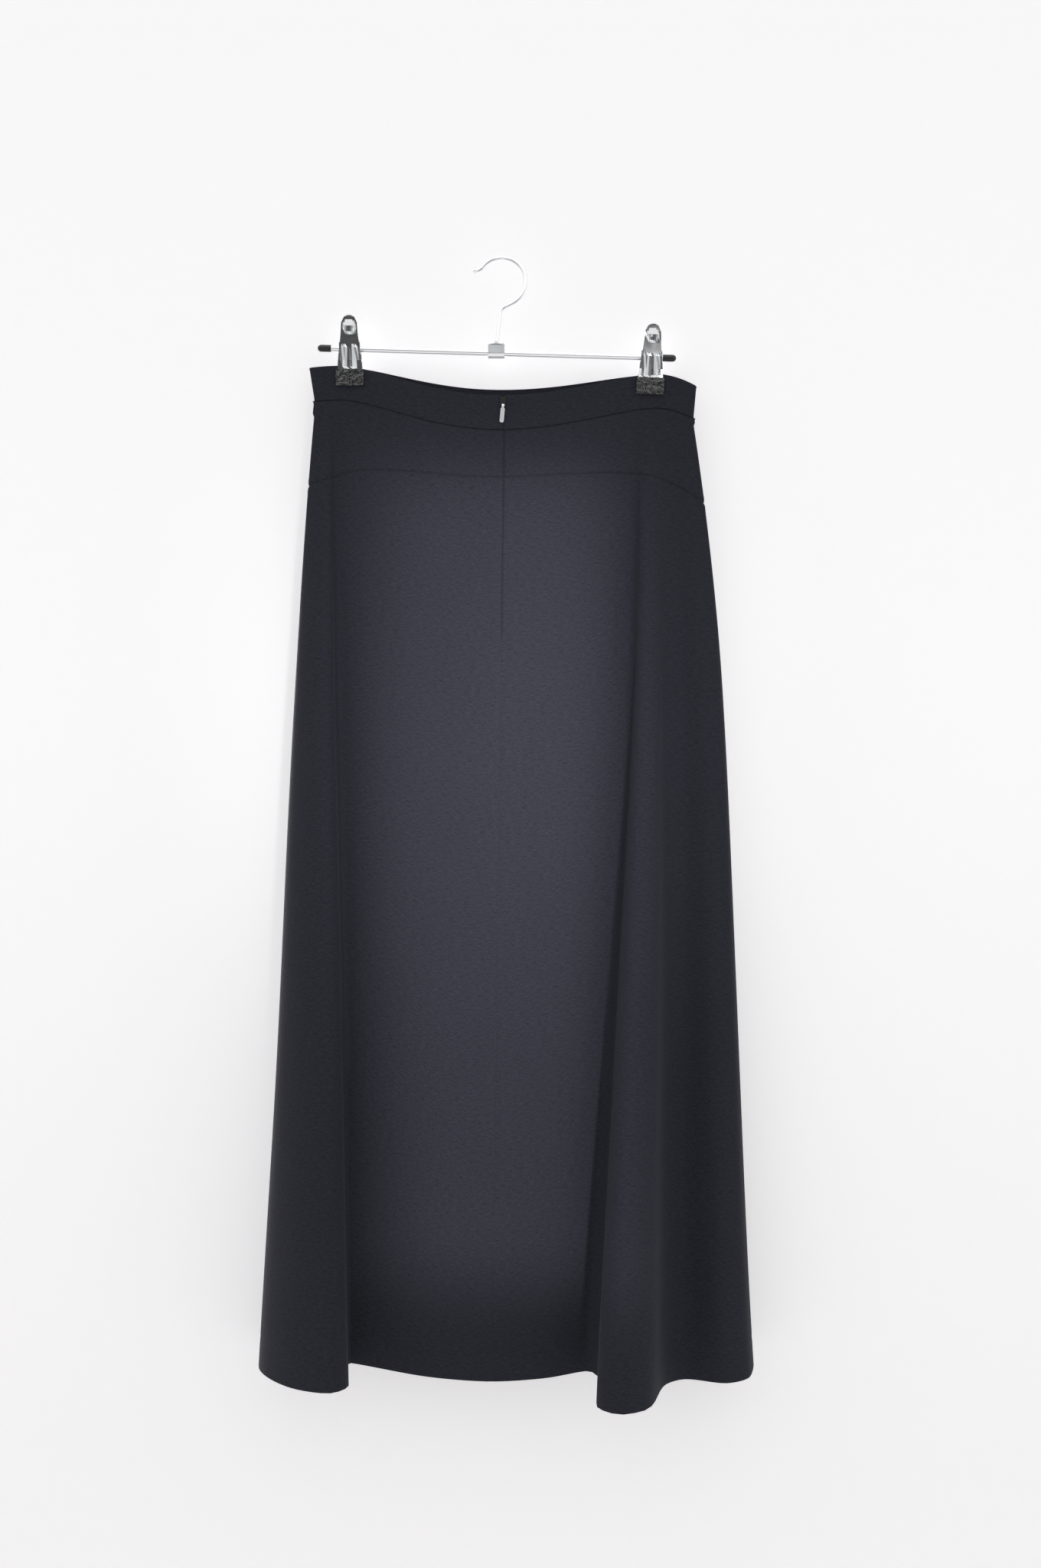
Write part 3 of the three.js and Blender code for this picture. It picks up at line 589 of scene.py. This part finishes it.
def cloth_material(settings):
    """Matt crepe in the cut's own coordinates, with a faint sheen."""
    if "Skirt crepe" in bpy.data.materials:
        return bpy.data.materials["Skirt crepe"]
    material, tree, shader = new_material(
        "Skirt crepe", settings.colour, 0.82, Sheen_Weight=0.04, Sheen_Roughness=0.45, Specular_IOR_Level=0.1
    )
    group = tree.nodes.new("ShaderNodeGroup")
    group.node_tree = weave_group()
    group.inputs["Colour"].default_value = (*settings.colour, 1)
    uv = tree.nodes.new("ShaderNodeUVMap")
    uv.uv_map = CUT
    tree.links.new(uv.outputs[0], group.inputs["Vector"])
    tree.links.new(group.outputs["Colour"], shader.inputs["Base Color"])
    add_bump(tree, shader, group.outputs["Height"], 0.35, 0.0002)
    return material


def hard_finish(name):
    """One of the finishes above, in Object coordinates, with a handled surface."""
    if name in bpy.data.materials:
        return bpy.data.materials[name]
    colour, roughness, metallic = FINISHES[name]
    material, tree, shader = new_material(name, colour, roughness, metallic)
    group = tree.nodes.new("ShaderNodeGroup")
    group.node_tree = metal_group()
    group.inputs["Roughness"].default_value = roughness
    coordinates = tree.nodes.new("ShaderNodeTexCoord")
    tree.links.new(coordinates.outputs["Object"], group.inputs["Vector"])
    tree.links.new(group.outputs["Roughness"], shader.inputs["Roughness"])
    add_bump(tree, shader, group.outputs["Height"], 0.06, 0.0001)
    return material


def tip_material():
    """Clear soft plastic that shows what is behind it, with bright flecks where it is dented."""
    if "Clear tip" in bpy.data.materials:
        return bpy.data.materials["Clear tip"]
    smoky = (0.02, 0.02, 0.022)
    material, tree, shader = new_material("Clear tip", smoky, 0.1, Alpha=0.72, Specular_IOR_Level=1.0)
    coordinates = tree.nodes.new("ShaderNodeTexCoord")
    dents = noise_node(tree, coordinates.outputs["Object"], 260, 2)
    add_bump(tree, shader, dents, 0.9, 0.002)
    return material


def finish_node(node, material):
    """Gives a carried-over node its finish."""
    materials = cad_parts[node].data.materials
    materials.clear()
    materials.append(material)


# ---- Settings, operators and panel ----

class SKIRT_cloth_settings(bpy.types.PropertyGroup):
    """Sizes and colour of the cloth."""

    colour: bpy.props.FloatVectorProperty(
        name="Cloth colour",
        description="The crepe's own colour",
        subtype="COLOR",
        size=3,
        default=(0.033, 0.034, 0.045),
    )
    spacing: bpy.props.FloatProperty(
        name="Mesh spacing",
        description="About how far apart the cloth's points lie, in millimetres",
        default=2.9,
        min=1.5,
    )


class SKIRT_stage_settings(bpy.types.PropertyGroup):
    """Light and camera."""

    key: bpy.props.FloatProperty(
        name="Key lamp", description="Power of the front lamp", default=0.306, unit="POWER"
    )
    upper: bpy.props.FloatProperty(
        name="Upper key lamp",
        description="Power of the wider front lamp, higher up",
        default=0.189,
        unit="POWER",
    )
    behind: bpy.props.FloatProperty(
        name="Back lamp", description="Power of the lamp behind the wall", default=26.0, unit="POWER"
    )
    fill: bpy.props.FloatProperty(name="Fill", description="How bright the room is all round", default=0.36)
    glow: bpy.props.FloatProperty(
        name="Wall", description="How much paler the wall looks than it is lit", default=0.51
    )
    distance: bpy.props.FloatProperty(
        name="Camera distance", description="From the hanger to the camera", default=2.0, unit="LENGTH"
    )
    lens: bpy.props.FloatProperty(name="Lens", description="Focal length in millimetres", default=47.06)


class SKIRT_OT_waistband(bpy.types.Operator):
    """Adds the waistband's front and two back halves."""

    bl_idname = "skirt.add_waistband"
    bl_label = "Waistband"

    def execute(self, context):
        add_tier("waistband", context.scene.skirt_cloth)
        return {"FINISHED"}


class SKIRT_OT_yoke(bpy.types.Operator):
    """Adds the yoke's front and two back halves."""

    bl_idname = "skirt.add_yoke"
    bl_label = "Yoke"

    def execute(self, context):
        add_tier("yoke", context.scene.skirt_cloth)
        return {"FINISHED"}


class SKIRT_OT_skirt(bpy.types.Operator):
    """Adds the skirt's front and two back panels."""

    bl_idname = "skirt.add_panels"
    bl_label = "Skirt panels"

    def execute(self, context):
        add_tier("skirt", context.scene.skirt_cloth)
        return {"FINISHED"}


class SKIRT_OT_zip(bpy.types.Operator):
    """Finishes the zip's tape, slider and pull tab."""

    bl_idname = "skirt.finish_zip"
    bl_label = "Zip"

    def execute(self, context):
        finish_node("zip_tape", hard_finish("Zip tape"))
        finish_node("zip_slider", hard_finish("Black lacquer"))
        finish_node("zip_pull_tab", hard_finish("Satin chrome"))
        return {"FINISHED"}


class SKIRT_OT_hanger(bpy.types.Operator):
    """Finishes the hanger's bar, caps, boss, collar and hook."""

    bl_idname = "skirt.finish_hanger"
    bl_label = "Hanger"

    def execute(self, context):
        finish_node("hanger_hook", hard_finish("Chrome"))
        for node in ("bar", "boss", "collar"):
            finish_node(f"hanger_{node}", hard_finish("Satin chrome"))
        for side in ("left", "right"):
            finish_node(f"hanger_cap_{side}", hard_finish("Black cap"))
        return {"FINISHED"}


class SKIRT_OT_clips(bpy.types.Operator):
    """Finishes the two clips: leaves, springs and clear tips."""

    bl_idname = "skirt.finish_clips"
    bl_label = "Clips"

    def execute(self, context):
        for side in ("left", "right"):
            for node in ("front_leaf", "back_leaf", "spring"):
                finish_node(f"clip_{side}_{node}", hard_finish("Chrome"))
            for node in ("front_tip", "back_tip"):
                finish_node(f"clip_{side}_{node}", tip_material())
        return {"FINISHED"}


def map_range(tree, value, source, target):
    """A smooth step from one range to another."""
    ramp = tree.nodes.new("ShaderNodeMapRange")
    ramp.interpolation_type = "SMOOTHSTEP"
    for label, number in zip(("From Min", "From Max", "To Min", "To Max"), (*source, *target)):
        ramp.inputs[label].default_value = number
    tree.links.new(value, ramp.inputs["Value"])
    return ramp.outputs[0]


def add_sheet(name, corners, glow):
    """A flat pale stage sheet that shows shadows but casts none, and is seen from its front only. Its glow has
    painted shade, darker towards the bottom.
    """
    mesh = bpy.data.meshes.new(name)
    mesh.from_pydata(corners, [], [(0, 1, 2, 3)])
    piece = bpy.data.objects.new(name, mesh)
    bpy.context.scene.collection.objects.link(piece)
    material, tree, shader = new_material(name, STAGE["pale"], 0.9)
    path = tree.nodes.new("ShaderNodeLightPath")
    emission = tree.nodes.new("ShaderNodeEmission")
    emission.inputs["Color"].default_value = STAGE["glow"]
    seen = math_node(tree, "MAXIMUM", path.outputs["Is Camera Ray"], path.outputs["Is Glossy Ray"])
    seen = math_node(tree, "MAXIMUM", seen, path.outputs["Is Transmission Ray"])
    split = tree.nodes.new("ShaderNodeSeparateXYZ")
    tree.links.new(tree.nodes.new("ShaderNodeTexCoord").outputs["Object"], split.inputs[0])
    # Painted shade: the glow is darker below a height, where less light falls on the wall.
    fade = map_range(tree, split.outputs["Z"], WALL_PAINTED_SHADE["heights"], (WALL_PAINTED_SHADE["share"] * glow, glow))
    tree.links.new(math_node(tree, "MULTIPLY", seen, fade), emission.inputs["Strength"])
    total = tree.nodes.new("ShaderNodeAddShader")
    tree.links.new(shader.outputs[0], total.inputs[0])
    tree.links.new(emission.outputs[0], total.inputs[1])
    back = tree.nodes.new("ShaderNodeNewGeometry")
    clear = tree.nodes.new("ShaderNodeBsdfTransparent")
    blend = tree.nodes.new("ShaderNodeMixShader")
    open_side = math_node(tree, "MAXIMUM", back.outputs["Backfacing"], path.outputs["Is Shadow Ray"])
    tree.links.new(open_side, blend.inputs[0])
    tree.links.new(total.outputs[0], blend.inputs[1])
    tree.links.new(clear.outputs[0], blend.inputs[2])
    tree.links.new(blend.outputs[0], tree.nodes["Material Output"].inputs["Surface"])
    mesh.materials.append(material)


def add_room(scene, level):
    """Room light, brighter above than below. The plating mirrors a brighter room with a dark middle."""
    world = bpy.data.worlds.new("Room")
    world.use_nodes = True
    tree = world.node_tree
    coordinates = tree.nodes.new("ShaderNodeTexCoord")
    split = tree.nodes.new("ShaderNodeSeparateXYZ")
    tree.links.new(coordinates.outputs["Generated"], split.inputs[0])
    path = tree.nodes.new("ShaderNodeLightPath")
    glossy, seen = path.outputs["Is Glossy Ray"], path.outputs["Is Camera Ray"]
    levels = tuple(share * level for share in ROOM["levels"])
    height = map_range(tree, split.outputs["Z"], ROOM["heights"], levels)
    ahead = map_range(tree, split.outputs["Y"], ROOM["ahead"], ROOM["mirrored"])
    more = math_node(tree, "ADD", math_node(tree, "MULTIPLY", glossy, ahead), 1.0)
    more = math_node(tree, "ADD", math_node(tree, "MULTIPLY", seen, ROOM["seen"]), more)
    background = tree.nodes["Background"]
    background.inputs["Color"].default_value = ROOM["colour"]
    tree.links.new(math_node(tree, "MULTIPLY", height, more), background.inputs["Strength"])
    scene.world = world


def add_lamp(name, power, place, target, size, spread):
    """A soft rectangular lamp that looks at a point."""
    light = bpy.data.lights.new(name, "AREA")
    light.shape = "RECTANGLE"
    light.size, light.size_y = size
    light.energy = power
    light.spread = math.radians(spread)
    lamp = bpy.data.objects.new(name, light)
    lamp.location = place
    way = Vector(target) - Vector(place)
    lamp.rotation_euler = way.to_track_quat("-Z", "Y").to_euler()
    bpy.context.scene.collection.objects.link(lamp)


class SKIRT_OT_stage(bpy.types.Operator):
    """Adds the pale wall and floor, the soft light and the camera."""

    bl_idname = "skirt.add_stage"
    bl_label = "Stage"

    def execute(self, context):
        settings = context.scene.skirt_stage
        scene = context.scene
        scene.view_settings.view_transform = "Standard"
        side, wall, floor, top = (STAGE[key] for key in ("side", "wall", "floor", "top"))
        upright = [(-side, wall, floor), (side, wall, floor), (side, wall, top), (-side, wall, top)]
        level = [(-side, -side, floor), (side, -side, floor), (side, wall, floor), (-side, wall, floor)]
        add_sheet("Wall", upright, settings.glow)
        add_sheet("Floor", level, settings.glow)
        add_room(scene, settings.fill)
        powers = {"Key": settings.key, "Upper key": settings.upper, "Behind": settings.behind}
        for name, power in powers.items():
            add_lamp(name, power, **LAMPS[name])
        camera = bpy.data.objects.new("Camera", bpy.data.cameras.new("Camera"))
        camera.data.lens = settings.lens
        camera.data.sensor_width = CAMERA["sensor"]
        camera.location = (CAMERA["x"], -settings.distance, CAMERA["z"])
        camera.rotation_euler = (math.pi / 2, 0, 0)
        scene.collection.objects.link(camera)
        scene.camera = camera
        return {"FINISHED"}


OPERATORS = (
    SKIRT_OT_stage,
    SKIRT_OT_waistband,
    SKIRT_OT_yoke,
    SKIRT_OT_skirt,
    SKIRT_OT_zip,
    SKIRT_OT_hanger,
    SKIRT_OT_clips,
)


class SKIRT_PT_panel(bpy.types.Panel):
    """Lists the skirt's pieces in the sidebar."""

    bl_label = "A-line skirt"
    bl_idname = "SKIRT_PT_panel"
    bl_space_type = "VIEW_3D"
    bl_region_type = "UI"
    bl_category = "Skirt"

    def draw(self, context):
        for settings in (context.scene.skirt_cloth, context.scene.skirt_stage):
            for key in settings.__annotations__:
                self.layout.prop(settings, key)
        for operator in OPERATORS:
            self.layout.operator(operator.bl_idname)


CLASSES = (SKIRT_cloth_settings, SKIRT_stage_settings, *OPERATORS, SKIRT_PT_panel)


def register():
    """Registers the classes and their settings."""
    for item in CLASSES:
        bpy.utils.register_class(item)
    bpy.types.Scene.skirt_cloth = bpy.props.PointerProperty(type=SKIRT_cloth_settings)
    bpy.types.Scene.skirt_stage = bpy.props.PointerProperty(type=SKIRT_stage_settings)


def unregister():
    """Takes the settings and the classes away again."""
    del bpy.types.Scene.skirt_cloth
    del bpy.types.Scene.skirt_stage
    for item in reversed(CLASSES):
        bpy.utils.unregister_class(item)


def main():
    """Builds the whole scene."""
    register()
    for operator in OPERATORS:
        group, name = operator.bl_idname.split(".")
        getattr(getattr(bpy.ops, group), name)()


if __name__ == "__main__":
    main()
